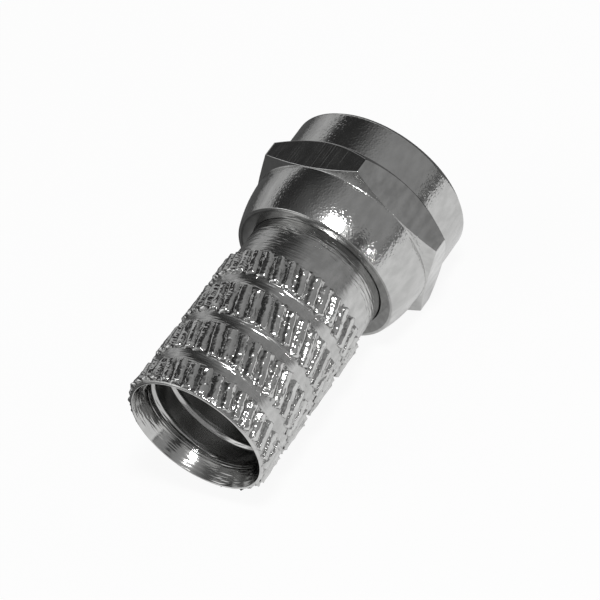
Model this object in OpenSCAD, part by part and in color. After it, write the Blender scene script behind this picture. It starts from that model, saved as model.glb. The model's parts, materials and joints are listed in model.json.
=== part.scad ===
// F-type twist-on plug for coaxial cable: a one-piece turned body with a
// knurled barrel, and a hexagonal coupling nut that turns freely on it.
//
// Each piece is drawn standing on its turning axis, with Z = 0 at the body's
// seat face (the ring that meets the socket) and Z growing towards the cable.
// lie_on_flat() then lays it down: +X points out of the nut towards the
// socket and +Z points out of the upper hex flat. The part lies on the
// opposite flat. All lengths are in millimetres.
//
// The radii are built up from the cable outwards: jacket thread, neck, flange,
// the nut's chamber, its collar and at last the hex, 11 mm across the flats.

/* [Cable passage] */
// Hole through the seat face for the cable's inner insulation
dielectric_d = 5.0; // [4:0.1:5.6]
// Length of that hole
dielectric_length = 1.5; // [1:0.1:2]
// Bore over the crests of the thread that grips the cable jacket
jacket_thread_d = 7.24; // [6.5:0.02:8.4]
// Angle of the drilled cone between the two bores
drill_angle = 118; // [90:2:140]
// Radial step from those crests out to the mouth of the lead-in cone
lead_in_step = 0.4; // [0.2:0.02:0.42]
// Slope of the lead-in cone from the axis
lead_in_angle = 18; // [10:1:40]

/* [Body] */
// Wall of the neck over the jacket thread's crests
neck_wall = 0.47; // [0.3:0.01:0.8]
// Length of neck that shows between the nut and the knurl
neck_show = 2.5; // [1:0.1:6]
// Radial step from the neck out to the flange that holds the nut on
flange_step = 0.66; // [0.4:0.02:1.2]
// Thickness of the flange
flange_t = 1.4; // [1:0.1:2]
// Chamfer on the flange's front edge
flange_chamfer = 0.15; // [0.05:0.05:0.3]

/* [Knurled barrel] */
// Length of the barrel
knurl_length = 9.95; // [8.5:0.05:16]
// Radial step from the neck out to the bottom of the grooves
groove_step = 0.06; // [0.02:0.01:0.2]
// Height of the knurl's crests over the bottom of the grooves
knurl_height = 0.22; // [0.19:0.01:0.4]
// Number of teeth round the barrel
teeth = 34; // [24:1:36]
// Depth of the valleys between the teeth
tooth_depth = 0.17; // [0.1:0.01:0.19]
// Angle between the two sides of a valley
valley_angle = 90; // [60:5:100]
// Lean of the teeth from the axis
tooth_lean = 19; // [0:1:25]
// Number of plain grooves that divide the knurl into bands
grooves = 3; // [1:1:3]
// Distance from one groove to the next
groove_pitch = 2.85; // [2:0.05:3.2]
// Width of a groove
groove_w = 0.72; // [0.4:0.02:1]
// Chamfer on the barrel's cable end, in length and in radius
rim_chamfer = 0.25; // [0.2:0.01:0.3]

/* [Running gaps] */
// Radial gap between the body and the nut that turns on it
running_gap = 0.08; // [0.04:0.01:0.1]
// Gap at each face of the body's flange inside the nut
end_gap = 0.1; // [0.05:0.01:0.2]

/* [Coupling nut] */
// Bore over the crests of the socket thread
socket_thread_d = 8.76; // [8:0.02:9.4]
// Chamfer at the mouth of the thread
mouth_chamfer = 0.42; // [0.2:0.02:0.5]
// How far the nut's open end stands in front of the seat face
nut_reach = 5.0; // [3:0.1:8]
// Thickness of the lip that is rolled in behind the flange
lip_t = 0.85; // [0.5:0.05:1.5]
// Wall round the chamber that the flange turns in
skirt_wall = 0.62; // [0.55:0.01:1.5]
// Radial step from the round collar out to the hex flats
collar_step = 0.05; // [0.03:0.01:0.3]
// Chamfer on the collar's front edge
collar_chamfer = 0.3; // [0.1:0.05:0.5]
// Distance from the open end to the hex, at the middle of a flat
hex_start = 2.55; // [1:0.05:4]
// Length of the hex at the middle of a flat
hex_length = 2.0; // [1.8:0.1:2.2]
// Slope of the turned bevel on the hex corners, open end
front_bevel = 34; // [20:1:40]
// Slope of the turned bevel on the hex corners, cable end
rear_bevel = 20; // [10:1:30]
// How far the rolled skirt draws in from the hex to its end
skirt_drop = 0.5; // [0.2:0.02:0.6]
// Chamfer on the skirt's last edge
skirt_chamfer = 0.12; // [0.05:0.01:0.14]
// Depth of the dish in the nut's rear face
rear_dish = 0.1; // [0.05:0.01:0.2]

/* [Hidden] */
$fn = 96;
over = 1; // how far every cutter stands past the metal it cuts

// The body's radii, from the cable outwards
dielectric_r = dielectric_d / 2;
jacket_thread_r = jacket_thread_d / 2;
lead_in_r = jacket_thread_r + lead_in_step;
neck_r = jacket_thread_r + neck_wall;
groove_r = neck_r + groove_step;
barrel_r = groove_r + knurl_height;
valley_r = barrel_r - tooth_depth;
flange_r = neck_r + flange_step;

// The nut's radii, round the body's
socket_thread_r = socket_thread_d / 2;
lip_r = neck_r + running_gap;
chamber_r = flange_r + running_gap;
collar_r = chamber_r + skirt_wall;
hex_af = 2 * (collar_r + collar_step);
hex_corner_r = hex_af / 2 / cos(30);
blank_r = hex_corner_r + 0.1; // the bevels run on past the corners, so that the corners stay sharp
skirt_end_r = collar_r - skirt_drop;
dish_r = skirt_end_r - 2 * skirt_chamfer;

// The nut's lengths, from its open end
chamber_start = nut_reach - end_gap;
chamber_end = nut_reach + flange_t + end_gap;
nut_length = chamber_end + lip_t;
hex_end = hex_start + hex_length;
skirt_length = nut_length - hex_end;
skirt_arc_r = (skirt_length * skirt_length + skirt_drop * skirt_drop) / (2 * skirt_drop);

// The body's lengths, from its seat face
barrel_start = nut_length - nut_reach + neck_show;
body_length = barrel_start + knurl_length;
barrel_middle = barrel_start + knurl_length / 2;
drill_cone = (jacket_thread_r - dielectric_r) / tan(drill_angle / 2);
thread_end = body_length - lead_in_step / tan(lead_in_angle);

// Lays a piece that was drawn on the Z axis on its lower hex flat
module lie_on_flat() rotate([0, -90, 0]) children();

// Height of the middle of groove number i
function groove_z(i) = barrel_middle + (i - (grooves - 1) / 2) * groove_pitch;

// Ring groove round the barrel, centred on height z
module ring_groove(z)
    translate([0, 0, z - groove_w / 2]) difference() {
        cylinder(r = barrel_r + over, h = groove_w);
        translate([0, 0, -over]) cylinder(r = groove_r, h = groove_w + 2 * over);
    }

// One V-shaped valley between two teeth, leaning with the knurl
module valley(length) {
    half_w = (tooth_depth + over) * tan(valley_angle / 2);
    rotate([tooth_lean, 0, 0]) linear_extrude(height = length, center = true)
        polygon([[valley_r, 0], [barrel_r + over, -half_w], [barrel_r + over, half_w]]);
}

// The valleys of the band from height low to height high. They run out into the grooves at its sides,
// and the turn carries the knurl's helix on from band to band.
module valley_ring(low, high) {
    middle = (low + high) / 2;
    helix_turn = (middle - barrel_middle) * tan(tooth_lean) / barrel_r * 180 / PI;
    for (i = [0 : teeth - 1])
        rotate(i * 360 / teeth - helix_turn) translate([0, 0, middle]) valley(high - low + groove_w);
}

module knurl() {
    for (i = [0 : grooves - 1]) ring_groove(groove_z(i));
    for (i = [0 : grooves])
        valley_ring(i == 0 ? barrel_start : groove_z(i - 1) + groove_w / 2,
                    i == grooves ? body_length : groove_z(i) - groove_w / 2);
}

module body_outside() rotate_extrude() polygon([
    [0, 0],
    [flange_r - flange_chamfer, 0],
    [flange_r, flange_chamfer],
    [flange_r, flange_t],
    [neck_r, flange_t],
    [neck_r, barrel_start],
    [barrel_r, barrel_start],
    [barrel_r, body_length - rim_chamfer],
    [barrel_r - rim_chamfer, body_length],
    [0, body_length]
]);

// Insulation hole, drilled cone, jacket thread's bore and the lead-in cone
module cable_passage() rotate_extrude() polygon([
    [0, -over],
    [dielectric_r, -over],
    [dielectric_r, dielectric_length],
    [jacket_thread_r, dielectric_length + drill_cone],
    [jacket_thread_r, thread_end],
    [lead_in_r + over * tan(lead_in_angle), body_length + over],
    [0, body_length + over]
]);

module connector_body() color("silver") lie_on_flat() difference() {
    body_outside();
    knurl();
    cable_passage();
}

// Hexagonal bar that the nut is turned from, one flat square to the X axis
module hex_bar() translate([0, 0, -over]) rotate(30)
    cylinder(r = hex_corner_r, h = nut_length + 2 * over, $fn = 6);

// What the turning leaves: the collar and the bevelled hex, then the rolled skirt with its arc
module nut_outside() rotate_extrude() {
    polygon([
        [0, 0],
        [collar_r - collar_chamfer, 0],
        [collar_r, collar_chamfer],
        [collar_r, hex_start],
        [blank_r, hex_start + (blank_r - collar_r) * tan(front_bevel)],
        [blank_r, hex_end - (blank_r - collar_r) * tan(rear_bevel)],
        [collar_r, hex_end],
        [0, hex_end]
    ]);
    intersection() {
        translate([collar_r - skirt_arc_r, hex_end]) circle(r = skirt_arc_r);
        polygon([
            [0, hex_end],
            [collar_r, hex_end],
            [collar_r, nut_length - skirt_chamfer - skirt_drop],
            [skirt_end_r - skirt_chamfer, nut_length],
            [0, nut_length]
        ]);
    }
}

// Thread bore, the chamber that the flange turns in, and the lip behind it
module nut_inside() rotate_extrude() polygon([
    [0, -over],
    [socket_thread_r + mouth_chamfer + over, -over],
    [socket_thread_r, mouth_chamfer],
    [socket_thread_r, chamber_start],
    [chamber_r, chamber_start],
    [chamber_r, chamber_end],
    [lip_r, chamber_end],
    [lip_r, nut_length - rear_dish],
    [dish_r, nut_length],
    [dish_r, nut_length + over],
    [0, nut_length + over]
]);

module coupling_nut() color("gainsboro") lie_on_flat() translate([0, 0, -nut_reach]) difference() {
    intersection() {
        nut_outside();
        hex_bar();
    }
    nut_inside();
}

connector_body();
coupling_nut();
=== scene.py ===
"""Looks of a twist-on F plug in bright nickel plate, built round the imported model.

Lengths are in millimetres until a mesh is made. "behind" is the distance behind the seat face, so a
point lies at X = -behind, and "turn" is the angle round the axis from +Z towards +Y.
"""
import json
import math
import bpy
import numpy as np
from mathutils import Matrix, Vector


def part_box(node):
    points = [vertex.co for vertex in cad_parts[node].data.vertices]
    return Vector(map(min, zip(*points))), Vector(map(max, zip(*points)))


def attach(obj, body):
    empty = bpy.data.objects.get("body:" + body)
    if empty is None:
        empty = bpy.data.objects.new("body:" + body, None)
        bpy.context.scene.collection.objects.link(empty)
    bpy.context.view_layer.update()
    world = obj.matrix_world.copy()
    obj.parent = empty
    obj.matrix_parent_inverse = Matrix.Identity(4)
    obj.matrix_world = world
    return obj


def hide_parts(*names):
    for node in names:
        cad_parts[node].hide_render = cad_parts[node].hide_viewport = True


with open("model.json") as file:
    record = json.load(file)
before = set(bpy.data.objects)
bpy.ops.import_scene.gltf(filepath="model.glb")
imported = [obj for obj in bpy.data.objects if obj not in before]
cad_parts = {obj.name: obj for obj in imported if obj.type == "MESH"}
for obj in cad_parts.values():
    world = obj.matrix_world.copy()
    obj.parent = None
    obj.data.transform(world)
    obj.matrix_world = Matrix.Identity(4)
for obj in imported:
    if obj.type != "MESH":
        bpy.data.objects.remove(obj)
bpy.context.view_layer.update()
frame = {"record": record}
bpy.context.scene.view_settings.view_transform = "Standard"

MM = 0.001
MOUNTS = {mount["name"]: mount for mount in frame["record"]["mounts"]}
BODY_LOW, BODY_HIGH = (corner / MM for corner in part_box("connector_body"))
NUT_LOW, NUT_HIGH = (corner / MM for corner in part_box("coupling_nut"))

# --- Sizes of the body ---
BODY_LENGTH = -BODY_LOW.x
DIELECTRIC_R = MOUNTS["dielectric_bore"]["dims"]["r_mm"]
DIELECTRIC_LENGTH = MOUNTS["dielectric_bore"]["dims"]["length_mm"]
JACKET_CREST_R = MOUNTS["jacket_thread"]["dims"]["r_mm"]
JACKET_LENGTH = MOUNTS["jacket_thread"]["dims"]["length_mm"]
JACKET_THREAD_END = -MOUNTS["jacket_thread"]["pos_m"][0] / MM
LEAD_IN_R = JACKET_CREST_R + 0.4
LEAD_IN_FLARE = 1.25
FLANGE_R = 4.75
FLANGE_T = 1.4
FLANGE_CHAMFER = 0.15
NECK_R = 4.09
BARREL_START = 4.85
GROOVE_COUNT = 3
GROOVE_PITCH = 2.85
GROOVE_W = 0.72
GROOVE_R = 4.15
VALLEY_R = 4.2
CREST_R = 4.37
RIM_CHAMFER = 0.25
TEETH = 34
TOOTH_LEAN = math.radians(19)
JACKET_PITCH = 1.42
JACKET_PHASE = 0.98
JACKET_ROOT_R = 3.82
TOOL_DRAWN_BACK = 0.7
RING_PITCH = 0.14
RING_HEIGHT = 0.012
RING_REACH = 0.3

# --- Sizes of the nut ---
NUT_REACH = NUT_HIGH.x
NUT_REAR = -NUT_LOW.x
HEX_AF = 2 * NUT_HIGH.z
COLLAR_R = HEX_AF / 2 - 0.05
COLLAR_CHAMFER = 0.3
HEX_START = 2.55 - NUT_REACH
HEX_END = 4.55 - NUT_REACH
FRONT_BEVEL = math.tan(math.radians(39))
REAR_BEVEL = math.tan(math.radians(20))
SKIRT_DROP = 0.5
REAR_DISH = 0.1
DISH_R = 4.71
LIP_R = 4.13
LIP_WOBBLE = 0.03
LIP_TIGHT_TURN = math.radians(-5)
CHAMBER_R = 4.83
CHAMBER_START = -0.1
CHAMBER_END = 1.5
SOCKET_CREST_R = MOUNTS["socket_thread"]["dims"]["r_mm"]
SOCKET_ROOT_R = 4.76
SOCKET_PITCH = 25.4 / 32
MOUTH_CHAMFER = 0.42

NEAR = 0.004  # how far a face's middle may lie from the surface that it belongs to


# --- Small helpers ---
def srgb(code):
    """Linear RGBA of an sRGB hex colour."""
    channels = [int(code[i:i + 2], 16) / 255 for i in (1, 3, 5)]
    return [c / 12.92 if c <= 0.04045 else ((c + 0.055) / 1.055) ** 2.4 for c in channels] + [1.0]


def add(tree, kind, inputs=None, **settings):
    """Adds a node. A value in inputs that is a socket is linked, and any other is set."""
    made = tree.nodes.new(kind)
    for name, value in settings.items():
        setattr(made, name, value)
    for key, value in (inputs or {}).items():
        if isinstance(value, bpy.types.NodeSocket):
            tree.links.new(value, made.inputs[key])
        else:
            made.inputs[key].default_value = value
    return made


# --- Rings: closed profiles turned about the X axis ---
def corner(behind, radius, rounding=0.03):
    """A profile corner. Either place may vary round the ring, as an array with a value per column."""
    return behind, radius, rounding


def ring_rows(profile, turns):
    """Rows of (behind, radius) points for a closed profile of corners and ready-made runs of rows."""
    def spread(item):
        if isinstance(item, np.ndarray):
            return item, 0
        behind, radius, rounding = item
        point = np.stack(np.broadcast_arrays(behind, radius, turns)[:2], -1).astype(float)
        return point[None], rounding

    items = [spread(item) for item in profile]
    rows = []
    for i, (points, rounding) in enumerate(items):
        if not rounding:
            rows.extend(points)
            continue
        here, before, after = points[0], items[i - 1][0][-1], items[(i + 1) % len(items)][0][0]
        reach = np.minimum(np.linalg.norm(before - here, axis=-1), np.linalg.norm(after - here, axis=-1))
        cut = np.minimum(rounding, 0.3 * reach)[:, None]
        back, ahead = (
            (other - here) / np.linalg.norm(other - here, axis=-1, keepdims=True) * cut
            for other in (before, after)
        )
        rows.append(here + 1.5 * back)
        for t in (0, 0.25, 0.5, 0.75, 1):
            rows.append(here + (1 - t) ** 2 * back + t ** 2 * ahead)
        rows.append(here + 1.5 * ahead)
    return np.array(rows)


def ring_mesh(name, profile, turns, materials, finish):
    """A closed ring: the profile runs backwards along the outside and forwards along the inside. finish
    gives the number of each face's material from the middles of the faces, in mm."""
    rows = ring_rows(profile, turns)
    behind, radius = rows[..., 0], rows[..., 1]
    points = np.stack([-behind, radius * np.sin(turns), radius * np.cos(turns)], -1) * MM
    row_count, column_count = behind.shape
    index = np.arange(row_count * column_count).reshape(row_count, column_count)
    right, below = np.roll(index, -1, 1), np.roll(index, -1, 0)
    faces = np.stack([index, right, np.roll(right, -1, 0), below], -1).reshape(-1, 4)
    mesh = bpy.data.meshes.new(name)
    mesh.from_pydata(points.reshape(-1, 3).tolist(), [], faces.tolist())
    mesh.shade_smooth()
    for material in materials:
        mesh.materials.append(material)
    middles = points.reshape(-1, 3)[faces].mean(1) / MM
    mesh.polygons.foreach_set("material_index", finish(middles).astype(np.int32))
    made = bpy.data.objects.new(name, mesh)
    bpy.context.collection.objects.link(made)
    return made


def smooth_step(value, low, high):
    t = np.clip((value - low) / (high - low), 0, 1)
    return t * t * (3 - 2 * t)


def thread_rows(behinds, turns, bore, pitch, start, root_r, crest, flank, depth, fade):
    """Rows along a right-handed internal thread cut into a bore.

    The thread tool leaves a ridge whose flat top is crest wide and whose flanks are flank long, out of
    metal that it would else clear to root_r. Where fade is 0 the tool doesn't reach the bore at all. At
    turn 0 the ridge is start pitches behind the seat face.
    """
    behind, turn = np.meshgrid(behinds, turns, indexing="ij")
    phase = (behind / pitch - turn / (2 * math.pi) - start + 0.5) % 1
    off_ridge = np.abs(phase - 0.5) * pitch
    ridge = 1 - smooth_step(off_ridge, crest / 2, crest / 2 + flank)
    tool_r = root_r - depth * ridge - (1 - fade(behind)) * TOOL_DRAWN_BACK
    return np.stack([behind, np.maximum(bore(behind), tool_r)], -1)


# --- Camera, floor and light ---
def make_camera():
    """A long lens looks down on the part from behind its barrel, rolled so that the part stands aslant."""
    azimuth, elevation, roll = math.radians(-129.495), math.radians(40.215), math.radians(-25.885)
    target = Vector((-4.29, -0.17, -0.15)) * MM
    distance = 191.2 * MM
    away = Vector((
        math.cos(elevation) * math.cos(azimuth),
        math.cos(elevation) * math.sin(azimuth),
        math.sin(elevation),
    ))
    camera = bpy.data.objects.new("camera", bpy.data.cameras.new("camera"))
    camera.data.lens = 209
    camera.data.sensor_width = 36
    camera.data.clip_start = 0.01
    turn = away.to_track_quat("Z", "Y").to_matrix().to_4x4() @ Matrix.Rotation(roll, 4, "Z")
    camera.matrix_world = Matrix.Translation(target + away * distance) @ turn
    bpy.context.collection.objects.link(camera)
    bpy.context.scene.camera = camera


def make_floor():
    """White paper under the lower hex flat. What the metal mirrors of it is white only on a painted sheet of
    light in front, and behind the part the paper falls off to painted grey shade."""
    material = bpy.data.materials.new("white paper")
    material.use_nodes = True
    tree = material.node_tree
    tree.nodes.clear()
    path = add(tree, "ShaderNodeLightPath").outputs
    place = add(tree, "ShaderNodeTexCoord").outputs["Object"]
    seen = add(tree, "ShaderNodeMath", {0: path["Is Camera Ray"], 1: path["Is Transmission Ray"]},
               operation="MAXIMUM").outputs[0]
    sheet_middle, sheet_r, sheet_edge_r = Vector((-20, -36, NUT_LOW.z)), 44, 47
    # painted light: inside this disc the paper is painted white and glows for mirror rays, outside it is
    # painted grey shade
    far = add(tree, "ShaderNodeVectorMath", {0: place, 1: sheet_middle * MM}, operation="DISTANCE")
    painted_light_pool = add(tree, "ShaderNodeMapRange", {
        "Value": far.outputs["Value"], "From Min": sheet_r * MM, "From Max": sheet_edge_r * MM,
        "To Min": 1.0, "To Max": 0.0,
    }, interpolation_type="SMOOTHSTEP").outputs[0]
    bright = add(tree, "ShaderNodeMath", {0: seen, 1: painted_light_pool}, operation="MAXIMUM")
    tone = add(tree, "ShaderNodeMix", {0: bright.outputs[0], 6: srgb("#646464"), 7: srgb("#F4F4F4")},
               data_type="RGBA")
    paper = add(tree, "ShaderNodeBsdfDiffuse", {"Color": tone.outputs[2]})
    mirrored = add(tree, "ShaderNodeMath", {0: path["Is Glossy Ray"], 1: painted_light_pool}, operation="MULTIPLY")
    shown = add(tree, "ShaderNodeMath", {0: mirrored.outputs[0], 1: 0.5, 2: seen},
                operation="MULTIPLY_ADD")
    share = add(tree, "ShaderNodeMath", {0: shown.outputs[0], 1: 0.92}, operation="MULTIPLY")
    glow = add(tree, "ShaderNodeEmission", {"Color": srgb("#FFFFFF"), "Strength": 1.0})
    mixed = add(tree, "ShaderNodeMixShader", {0: share.outputs[0], 1: paper.outputs[0], 2: glow.outputs[0]})
    add(tree, "ShaderNodeOutputMaterial", {"Surface": mixed.outputs[0]})
    half = 1.5
    mesh = bpy.data.meshes.new("floor")
    height = NUT_LOW.z * MM
    corners = [(x * half, y * half, height) for x, y in ((-1, -1), (1, -1), (1, 1), (-1, 1))]
    mesh.from_pydata(corners, [], [(0, 1, 2, 3)])
    mesh.materials.append(material)
    floor = bpy.data.objects.new("floor", mesh)
    bpy.context.collection.objects.link(floor)


def direction(azimuth, elevation):
    a, e = math.radians(azimuth), math.radians(elevation)
    return Vector((math.cos(e) * math.cos(a), math.cos(e) * math.sin(a), math.sin(e)))


def make_world():
    """A grey studio: dark overhead on the far side, over a paler wall low behind the part."""
    world = bpy.data.worlds.new("studio")
    bpy.context.scene.world = world
    world.use_nodes = True
    tree = world.node_tree
    tree.nodes.clear()
    towards = add(tree, "ShaderNodeTexCoord").outputs["Generated"]
    axes = add(tree, "ShaderNodeSeparateXYZ", {0: towards}).outputs
    far_side = add(tree, "ShaderNodeMapRange", {"Value": axes["Y"], "From Min": -0.38, "From Max": 0.24},
                   interpolation_type="SMOOTHSTEP")
    wall = add(tree, "ShaderNodeValToRGB", {0: axes["Z"]})
    # height over the horizon, from 0 to 1 straight up, and how light the far side is there
    shades = [(0.0, 0.3), (0.15, 0.4), (0.3, 0.54), (0.5, 0.54), (0.58, 0.035), (0.8, 0.035), (1.0, 0.12)]
    stops = wall.color_ramp.elements
    while len(stops) < len(shades):
        stops.new(1.0)
    for stop, (height, shade) in zip(stops, shades):
        stop.position = height
        stop.color = (shade, shade, shade, 1.0)
    near_side = (0.33, 0.33, 0.33, 1.0)
    level = add(tree, "ShaderNodeMix", {0: far_side.outputs[0], 6: near_side, 7: wall.outputs[0]},
                data_type="RGBA").outputs[2]
    # the dark gap between the two lamps, and a pale window beyond the cable end
    for azimuth, elevation, inner, outer, shade in ((-97, 28, 5, 12, 0.05), (135, 42, 14, 27, 1.3)):
        facing = add(tree, "ShaderNodeVectorMath", {0: towards, 1: direction(azimuth, elevation)},
                     operation="DOT_PRODUCT")
        patch = add(tree, "ShaderNodeMapRange", {
            "Value": facing.outputs["Value"],
            "From Min": math.cos(math.radians(outer)), "From Max": math.cos(math.radians(inner)),
        }, interpolation_type="SMOOTHSTEP")
        level = add(tree, "ShaderNodeMix", {0: patch.outputs[0], 6: level, 7: (shade, shade, shade, 1.0)},
                    data_type="RGBA").outputs[2]
    background = add(tree, "ShaderNodeBackground", {"Color": level, "Strength": 1.0})
    add(tree, "ShaderNodeOutputWorld", {"Surface": background.outputs[0]})


def make_lamp(name, azimuth, elevation, distance, size, watts):
    lamp = bpy.data.objects.new(name, bpy.data.lights.new(name, "AREA"))
    lamp.data.shape = "DISK"
    lamp.data.size = size
    lamp.data.energy = watts
    away = direction(azimuth, elevation)
    lamp.matrix_world = Matrix.Translation(away * distance) @ away.to_track_quat("Z", "Y").to_matrix().to_4x4()
    bpy.context.collection.objects.link(lamp)


# --- Finishes ---
def nickel(name, plate, roughness, clouds, streak=0.0, specks=0.0, lines=0.0, lumps=0.0, scratches=0.0,
           valley_shade=None):
    """Bright nickel electroplate: a neutral grey mirror. clouds is the duller colour that handling leaves
    on it in faint patches. streak is how much more a light is drawn out along the axis, over turning lines
    too fine to see. The next four are heights in mm of what breaks the mirror: specks of grit under the
    plate that sparkle round the highlights, lines round the axis that the turning tool left, lumps that
    the knurling wheel pressed up, and scratches along the axis. The valley colour is painted shade,
    darker down between the teeth."""
    material = bpy.data.materials.new(name)
    material.use_nodes = True
    tree = material.node_tree
    surface = tree.nodes["Principled BSDF"]
    surface.inputs["Metallic"].default_value = 1.0
    surface.inputs["Roughness"].default_value = roughness
    if streak:
        surface.inputs["Anisotropic"].default_value = streak
        round_axis = add(tree, "ShaderNodeTangent", direction_type="RADIAL", axis="X")
        tree.links.new(round_axis.outputs[0], surface.inputs["Tangent"])
    place = add(tree, "ShaderNodeTexCoord").outputs["Object"]

    def noise(sizes_mm, detail):
        """Noise whose features are as long along X, Y and Z as sizes_mm says."""
        scaled = add(tree, "ShaderNodeVectorMath", {0: place, 1: [1 / (size * MM) for size in sizes_mm]},
                     operation="MULTIPLY")
        made = add(tree, "ShaderNodeTexNoise", {"Vector": scaled.outputs[0], "Scale": 1.0, "Detail": detail})
        return made.outputs[0]

    def dots(spacing_mm, radius_mm):
        """Round dots of random size, 1 in the middle of a dot and 0 outside it."""
        cells = add(tree, "ShaderNodeTexVoronoi", {"Vector": place, "Scale": 1 / (spacing_mm * MM)})
        return add(tree, "ShaderNodeMapRange", {
            "Value": cells.outputs["Distance"], "From Min": radius_mm / spacing_mm, "From Max": 0.0,
        }, interpolation_type="SMOOTHSTEP").outputs[0]

    patches = add(tree, "ShaderNodeMapRange", {
        "Value": noise((0.9, 0.5, 0.5), 3.0), "From Min": 0.35, "From Max": 0.65,
    })
    colour = add(tree, "ShaderNodeMix", {0: patches.outputs[0], 6: srgb(clouds), 7: srgb(plate)},
                 data_type="RGBA")
    # painted shade: the colour darkens from the crests down into the valleys between the teeth
    if valley_shade:
        flat = add(tree, "ShaderNodeVectorMath", {0: place, 1: (0, 1, 1)}, operation="MULTIPLY")
        out = add(tree, "ShaderNodeVectorMath", {0: flat.outputs[0]}, operation="LENGTH")
        height = add(tree, "ShaderNodeMapRange", {
            "Value": out.outputs["Value"],
            "From Min": (VALLEY_R + 0.02) * MM, "From Max": (CREST_R - 0.03) * MM,
        })
        colour = add(tree, "ShaderNodeMix", {0: height.outputs[0], 6: srgb(valley_shade), 7: colour.outputs[2]},
                     data_type="RGBA")
    tree.links.new(colour.outputs[2], surface.inputs["Base Color"])

    # Real grit, turning lines and scratches are 0.01 to 0.05 mm wide, too fine to show. The specks, lines
    # and scratches here are drawn 0.08 to 0.14 mm wide, which is as fine as shows.
    normal = None
    for height, pattern, low, high in (
        (specks, lambda: dots(0.14, 0.09), 0.0, 1.0),
        (lines, lambda: noise((0.12, 1.0, 1.0), 1.0), 0.3, 0.7),
        (lumps, lambda: noise((0.27, 0.27, 0.27), 1.0), 0.3, 0.7),
        (0.6 * lumps, lambda: noise((0.15, 0.35, 0.35), 1.0), 0.3, 0.7),
        (scratches, lambda: noise((5, 0.08, 0.08), 0.0), 0.64, 0.8),
    ):
        if height:
            shaped = add(tree, "ShaderNodeMapRange", {"Value": pattern(), "From Min": low, "From Max": high})
            given = {"Height": shaped.outputs[0], "Distance": height * MM, "Strength": 1.0}
            if normal:
                given["Normal"] = normal
            normal = add(tree, "ShaderNodeBump", given).outputs[0]
    if normal:
        tree.links.new(normal, surface.inputs["Normal"])
    return material


# --- The body ---
def groove_behind(i):
    """Middle of plain groove number i."""
    return (BARREL_START + BODY_LENGTH) / 2 + (i - (GROOVE_COUNT - 1) / 2) * GROOVE_PITCH


def groove_run(i):
    """A shallow round-bottomed groove, as corners without rounding."""
    middle = groove_behind(i)
    arc_r = ((GROOVE_W / 2) ** 2 + (VALLEY_R - GROOVE_R) ** 2) / (2 * (VALLEY_R - GROOVE_R))
    steps = np.linspace(-GROOVE_W / 2, GROOVE_W / 2, 9)
    return [corner(middle + s, GROOVE_R + arc_r - math.sqrt(arc_r ** 2 - s ** 2), 0) for s in steps]


def make_body(outside, knurled, inside, cone):
    turns = np.linspace(0, 2 * math.pi, 192, endpoint=False)
    jacket_start = JACKET_THREAD_END - JACKET_LENGTH
    # rows lie close together where the fine rings are, and 22 to a turn of the thread beyond them
    first, past_rings, last = BODY_LENGTH - 0.06, JACKET_THREAD_END - 0.2, jacket_start + 0.3
    behinds = np.concatenate([
        np.arange(first, past_rings, -0.03),
        np.arange(past_rings, last, -JACKET_PITCH / 22),
    ])

    def bore(behind):
        up_cone = np.clip((behind - JACKET_THREAD_END) / (BODY_LENGTH - JACKET_THREAD_END), 0, 1)
        near_foot = np.clip(1 - np.abs(behind - JACKET_THREAD_END) / RING_REACH, 0, 1)
        rings = RING_HEIGHT * np.sin(2 * math.pi * behind / RING_PITCH) * near_foot
        return JACKET_CREST_R + (LEAD_IN_R - JACKET_CREST_R) * up_cone ** LEAD_IN_FLARE + rings

    def fade(behind):
        return smooth_step(behind, last + 0.1, last + 1.2) * (
            1 - smooth_step(behind, JACKET_THREAD_END - 0.1, JACKET_THREAD_END + 0.15))

    thread = thread_rows(
        behinds, turns, bore, JACKET_PITCH, JACKET_PHASE, JACKET_ROOT_R,
        crest=0.07, flank=0.16, depth=0.24, fade=fade,
    )
    profile = [
        corner(0, DIELECTRIC_R),
        corner(0, FLANGE_R - FLANGE_CHAMFER),
        corner(FLANGE_CHAMFER, FLANGE_R),
        corner(FLANGE_T, FLANGE_R, 0.05),
        corner(FLANGE_T, NECK_R, 0.08),
        corner(BARREL_START, NECK_R, 0.05),
        corner(BARREL_START, VALLEY_R, 0.02),
        *(point for i in range(GROOVE_COUNT) for point in groove_run(i)),
        corner(BODY_LENGTH - (RIM_CHAMFER - CREST_R + VALLEY_R), VALLEY_R, 0.03),
        corner(BODY_LENGTH, CREST_R - RIM_CHAMFER, 0.05),
        corner(BODY_LENGTH, LEAD_IN_R, 0.03),
        thread,
        corner(jacket_start, JACKET_CREST_R, 0.05),
        corner(DIELECTRIC_LENGTH, DIELECTRIC_R, 0.03),
    ]

    def finish(middles):
        radius = np.hypot(middles[:, 1], middles[:, 2])
        between_teeth = (np.abs(radius - VALLEY_R) < NEAR) & (middles[:, 0] < -BARREL_START)
        within = (radius < NECK_R - 0.06) & (middles[:, 0] < -0.02)
        on_cone = within & (middles[:, 0] < -JACKET_THREAD_END)
        return np.select([on_cone, within, between_teeth], [3, 2, 1], 0)

    body = ring_mesh("turned_body", profile, turns, [outside, knurled, inside, cone], finish)
    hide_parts("connector_body")
    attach(body, "body")


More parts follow.
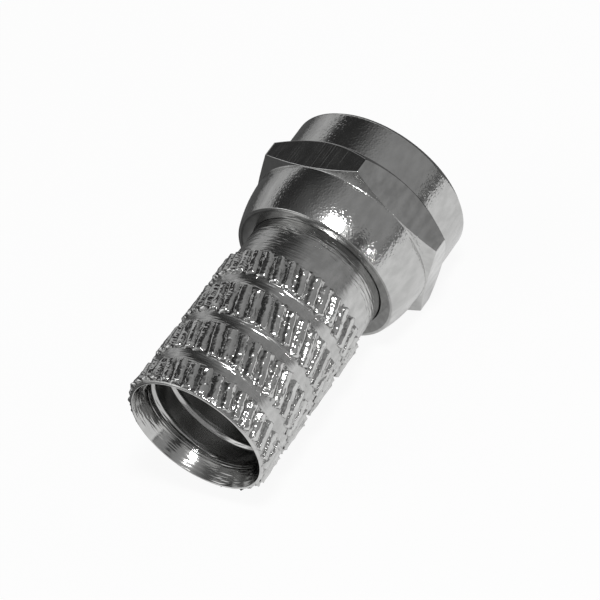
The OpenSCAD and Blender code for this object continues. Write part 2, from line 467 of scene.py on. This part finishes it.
def tooth_mesh(length):
    """One knurl tooth laid flat: arc length along X, length along Y and height over the valley along Z."""
    pitch = 2 * math.pi * CREST_R / TEETH
    height = CREST_R - VALLEY_R
    # share of the pitch from the tooth's middle, and share of the full height
    flank = [(0.5, -0.05), (0.4, 0.12), (0.28, 0.6), (0.2, 0.9), (0.11, 1.0)]
    across = [(-w, h) for w, h in flank] + [(0.0, 0.98)] + [(w, h) for w, h in reversed(flank)]
    # distance from the end, share of the full height and share of the full width there
    ends = [(-0.02, -0.3, 0.8), (0.02, 0.6, 0.9), (0.08, 1.15, 0.97), (0.2, 0.98, 1.0)]
    middle = np.linspace(-length / 2, length / 2, 9)[2:-2]
    along = [(d - length / 2, h, w) for d, h, w in ends] + [(y, 1.0, 1.0) for y in middle]
    along += [(length / 2 - d, h, w) for d, h, w in reversed(ends)]
    points = [
        (x * pitch * wide, y, z * height * (high if z > 0 else 1))
        for y, high, wide in along for x, z in across
    ]
    count = len(across)
    faces = [(a, a + 1, a + 1 + count, a + count)
             for j in range(len(along) - 1) for a in range(j * count, j * count + count - 1)]
    mesh = bpy.data.meshes.new("tooth")
    mesh.from_pydata([[c * MM for c in p] for p in points], [], faces)
    mesh.shade_smooth()
    return mesh


def knurl_tree(material):
    """Sets a flat tooth out in a leaning row, makes each a little unlike the next, and rolls the row up."""
    tree = bpy.data.node_groups.new("knurl band", "GeometryNodeTree")
    tree.interface.new_socket("Geometry", in_out="INPUT", socket_type="NodeSocketGeometry")
    for name, kind in (
        ("Teeth", "NodeSocketInt"), ("Radius", "NodeSocketFloat"), ("Middle", "NodeSocketFloat"),
        ("Shift", "NodeSocketFloat"), ("Lean", "NodeSocketFloat"), ("Seed", "NodeSocketInt"),
    ):
        tree.interface.new_socket(name, in_out="INPUT", socket_type=kind)
    tree.interface.new_socket("Geometry", in_out="OUTPUT", socket_type="NodeSocketGeometry")
    given = tree.nodes.new("NodeGroupInput").outputs

    def maths(operation, a, b=0.0):
        return add(tree, "ShaderNodeMath", {0: a, 1: b}, operation=operation).outputs[0]

    def random(low, high, salt):
        made = add(tree, "FunctionNodeRandomValue", {
            "Seed": maths("ADD", given["Seed"], float(salt)),
        }, data_type="FLOAT_VECTOR")
        made.inputs[0].default_value = low
        made.inputs[1].default_value = high
        return made.outputs[0]

    pitch = maths("DIVIDE", maths("MULTIPLY", given["Radius"], 2 * math.pi), given["Teeth"])
    start = add(tree, "ShaderNodeCombineXYZ", {0: maths("ADD", given["Shift"], maths("MULTIPLY", pitch, 0.5))})
    step = add(tree, "ShaderNodeCombineXYZ", {0: pitch})
    row = add(tree, "GeometryNodeMeshLine", {
        "Count": given["Teeth"], "Start Location": start.outputs[0], "Offset": step.outputs[0],
    }, mode="OFFSET")
    lean = add(tree, "ShaderNodeCombineXYZ", {2: given["Lean"]})
    turned = add(tree, "ShaderNodeVectorMath", {
        0: lean.outputs[0], 1: random((-0.03, -0.04, -0.05), (0.03, 0.04, 0.05), 1),
    }, operation="ADD")
    teeth = add(tree, "GeometryNodeInstanceOnPoints", {
        "Points": row.outputs[0], "Instance": given["Geometry"], "Rotation": turned.outputs[0],
        "Scale": random((0.86, 0.96, 0.85), (1.04, 1.04, 1.08), 2),
    })
    loose = add(tree, "GeometryNodeRealizeInstances", {0: teeth.outputs[0]})
    place = add(tree, "GeometryNodeInputPosition").outputs[0]
    lump_size, lump_reach = 0.22, (0.24 * MM, 0.24 * MM, 0.2 * MM)
    ripple = add(tree, "ShaderNodeTexNoise", {"Vector": place, "Scale": 1 / (lump_size * MM), "Detail": 2.0})
    centred = add(tree, "ShaderNodeVectorMath", {0: ripple.outputs["Color"], 1: (0.5, 0.5, 0.5)},
                  operation="SUBTRACT")
    nudge = add(tree, "ShaderNodeVectorMath", {0: centred.outputs[0], 1: lump_reach},
                operation="MULTIPLY")
    worn = add(tree, "GeometryNodeSetPosition", {"Geometry": loose.outputs[0], "Offset": nudge.outputs[0]})
    flat = add(tree, "ShaderNodeSeparateXYZ", {0: add(tree, "GeometryNodeInputPosition").outputs[0]}).outputs
    angle = maths("DIVIDE", flat[0], given["Radius"])
    radius = maths("ADD", flat[2], VALLEY_R * MM)
    rolled = add(tree, "ShaderNodeCombineXYZ", {
        0: maths("MULTIPLY", maths("ADD", flat[1], given["Middle"]), -1.0),
        1: maths("MULTIPLY", radius, maths("SINE", angle)),
        2: maths("MULTIPLY", radius, maths("COSINE", angle)),
    })
    band = add(tree, "GeometryNodeSetPosition", {"Geometry": worn.outputs[0], "Position": rolled.outputs[0]})
    plated = add(tree, "GeometryNodeSetMaterial", {"Geometry": band.outputs[0], "Material": material})
    add(tree, "NodeGroupOutput", {0: plated.outputs[0]})
    return tree


def make_knurl(material):
    tree = knurl_tree(material)
    identifiers = {item.name: item.identifier for item in tree.interface.items_tree if item.in_out == "INPUT"}
    barrel_middle = (BARREL_START + BODY_LENGTH) / 2
    edges = [BARREL_START]
    for i in range(GROOVE_COUNT):
        edges += [groove_behind(i) - GROOVE_W / 2, groove_behind(i) + GROOVE_W / 2]
    edges.append(BODY_LENGTH - 0.12)
    for number, (low, high) in enumerate(zip(edges[::2], edges[1::2])):
        middle = (low + high) / 2
        blank = bpy.data.objects.new("tooth", tooth_mesh(high - low))
        bpy.context.collection.objects.link(blank)
        rows = blank.modifiers.new("knurl", "NODES")
        rows.node_group = tree
        for name, value in (
            ("Teeth", TEETH), ("Radius", CREST_R * MM), ("Middle", middle * MM), ("Lean", TOOTH_LEAN),
            ("Shift", -(middle - barrel_middle) * math.tan(TOOTH_LEAN) * MM), ("Seed", 10 * number),
        ):
            rows[identifiers[name]] = value
        bpy.context.view_layer.update()
        mesh = bpy.data.meshes.new_from_object(blank.evaluated_get(bpy.context.evaluated_depsgraph_get()))
        bpy.data.objects.remove(blank)
        band = bpy.data.objects.new(f"knurl_band_{number + 1}", mesh)
        bpy.context.collection.objects.link(band)
        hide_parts("connector_body")
        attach(band, "body")


# --- The nut ---
def hex_turns():
    """Columns round the nut: closer at the corners, and one on each edge of a corner's small radius."""
    half_side = [0, 3, 6, 9, 12, 15, 18, 21, 24, 26, 28, 29, 29.64, 29.82]
    side = [-a for a in reversed(half_side[1:])] + half_side
    return np.radians([60 * i + a for i in range(6) for a in [-30] + side])


def hex_radius(turns, corner_radius=0.08):
    """Distance from the axis to a hexagon with slightly rounded corners, one flat square to turn 0."""
    off_flat = (turns + math.pi / 6) % (math.pi / 3) - math.pi / 6
    flat = HEX_AF / 2 / np.cos(off_flat)
    centre = (HEX_AF / 2 - corner_radius) / math.cos(math.pi / 6)
    off_corner = math.pi / 6 - np.abs(off_flat)
    inside = np.maximum(corner_radius ** 2 - (centre * np.sin(off_corner)) ** 2, 0)
    rounded = centre * np.cos(off_corner) + np.sqrt(inside)
    tangent = math.atan((HEX_AF / 2 - corner_radius) * math.tan(math.pi / 6) / (HEX_AF / 2))
    return np.where(np.abs(off_flat) > tangent, rounded, flat)


def make_nut(outside, flats, inside, lip, foot):
    turns = hex_turns()
    hex_r = hex_radius(turns)
    front = HEX_START + (hex_r - COLLAR_R) * FRONT_BEVEL
    rear = HEX_END - (hex_r - COLLAR_R) * REAR_BEVEL
    lip_r = LIP_R - LIP_WOBBLE * np.cos(turns - LIP_TIGHT_TURN)
    skirt_length = NUT_REAR - HEX_END
    arc_r = (skirt_length ** 2 + SKIRT_DROP ** 2) / (2 * SKIRT_DROP)
    skirt = [
        corner(HEX_END + s, COLLAR_R - arc_r + math.sqrt(arc_r ** 2 - s ** 2), 0)
        for s in np.linspace(0.2, skirt_length - 0.12, 9)
    ]
    thread_start, thread_end = -NUT_REACH + 0.02, CHAMBER_START

    def bore(behind):
        return np.maximum(SOCKET_CREST_R, SOCKET_CREST_R + MOUTH_CHAMFER - (behind + NUT_REACH))

    thread = thread_rows(
        np.arange(thread_end - 0.02, thread_start, -SOCKET_PITCH / 14),
        turns, bore, SOCKET_PITCH, 0.0, SOCKET_ROOT_R,
        crest=0.16, flank=0.27, depth=0.45, fade=lambda behind: np.ones_like(behind),
    )
    profile = [
        corner(-NUT_REACH, SOCKET_CREST_R + MOUTH_CHAMFER, 0.02),
        corner(-NUT_REACH, COLLAR_R - COLLAR_CHAMFER, 0.05),
        corner(-NUT_REACH + COLLAR_CHAMFER, COLLAR_R, 0.08),
        corner(HEX_START, COLLAR_R, 0.03),
        corner(front, hex_r, 0.03),
        corner(rear, hex_r, 0.03),
        corner(HEX_END, COLLAR_R, 0.12),
        *skirt,
        corner(NUT_REAR, COLLAR_R - SKIRT_DROP, 0.06),
        corner(NUT_REAR, DISH_R, 0.05),
        corner(NUT_REAR - REAR_DISH, lip_r, 0.04),
        corner(CHAMBER_END, lip_r, 0.05),
        corner(CHAMBER_END, CHAMBER_R, 0.05),
        corner(CHAMBER_START, CHAMBER_R, 0.05),
        thread,
    ]

    def finish(middles):
        sides = np.radians(range(0, 360, 60))
        square = [middles[:, 1] * math.sin(a) + middles[:, 2] * math.cos(a) for a in sides]
        on_flat = np.abs(np.max(square, 0) - HEX_AF / 2) < NEAR
        radius = np.hypot(middles[:, 1], middles[:, 2])
        on_lip = (middles[:, 0] < -NUT_REAR + 0.15) & (radius < DISH_R + 0.1)
        within = (radius < CHAMBER_R + 0.02) & (middles[:, 0] > -NUT_REAR + 0.15) & (
            middles[:, 0] < NUT_REACH - MOUTH_CHAMFER)
        # in_front marks the front bevel, which gets the nearly black painted shade
        in_front = (radius > COLLAR_R + 0.01) & (middles[:, 0] > -HEX_START - 0.75) & ~on_flat
        return np.select([on_flat, on_lip, within, in_front], [1, 3, 2, 4], 0)

    nut = ring_mesh("hex_nut", profile, turns, [outside, flats, inside, lip, foot], finish)
    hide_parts("coupling_nut")
    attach(nut, "nut")


make_camera()
make_world()
make_lamp("key lamp", -104, 62, 0.4, 0.09, 0.9)
make_lamp("low lamp", -93, 10, 0.4, 0.014, 0.02)
make_floor()
# skirt, collar and bevels: mirror bands along the axis, and grains of light round each highlight
TURNED = nickel("bright nickel over turned brass", "#CBCBCA", 0.12, "#BEBEBD", streak=0.8, specks=0.005)
# neck and plain grooves: the tool marks draw a highlight out and break it into short dashes
NECK = nickel(
    "bright nickel over coarsely turned brass", "#CFCFCE", 0.16, "#BCBCBB", streak=0.93, lines=0.013,
)
# teeth: pressed-up metal that splits each light into many small ones, over valleys darkened by painted shade
KNURLED = nickel(
    "bright nickel over the rolled knurl", "#D6D6D5", 0.14, "#C6C6C5", lumps=0.02, valley_shade="#BABAB9",
)
# jacket thread and socket: a rougher finish than outside, in a grey painted a little darker as shade inside
# the bores
BORE_SHADED = nickel("bright nickel over threaded brass", "#C4C4C3", 0.2, "#BABAB9")
# lead-in cone: sharp bands crossed by turning lines
COUNTERSUNK = nickel("bright nickel over the countersunk cable end", "#C9C9C8", 0.12, "#C0C0BF", lines=0.006)
# hex flats: flat mirrors with faint lines along the bar
DRAWN = nickel("bright nickel over drawn hexagon bar", "#CCCCCB", 0.12, "#B4B4B3", scratches=0.0012)
# rear face and lip of the nut: a dark ring round the neck, painted shade in the plate's colour
LIP_PAINTED_DARK = nickel("nickel dulled where the lip was rolled in", "#9A9A99", 0.16, "#8A8A89", lines=0.002)
# front bevel of the hexagon: nearly black, painted shade for the dark corner
BEVEL_PAINTED_SHADE = nickel("nickel stained in the corner before the hexagon", "#3C3C3B", 0.25, "#303030")
make_body(NECK, KNURLED, BORE_SHADED, COUNTERSUNK)
make_knurl(KNURLED)
make_nut(TURNED, DRAWN, BORE_SHADED, LIP_PAINTED_DARK, BEVEL_PAINTED_SHADE)
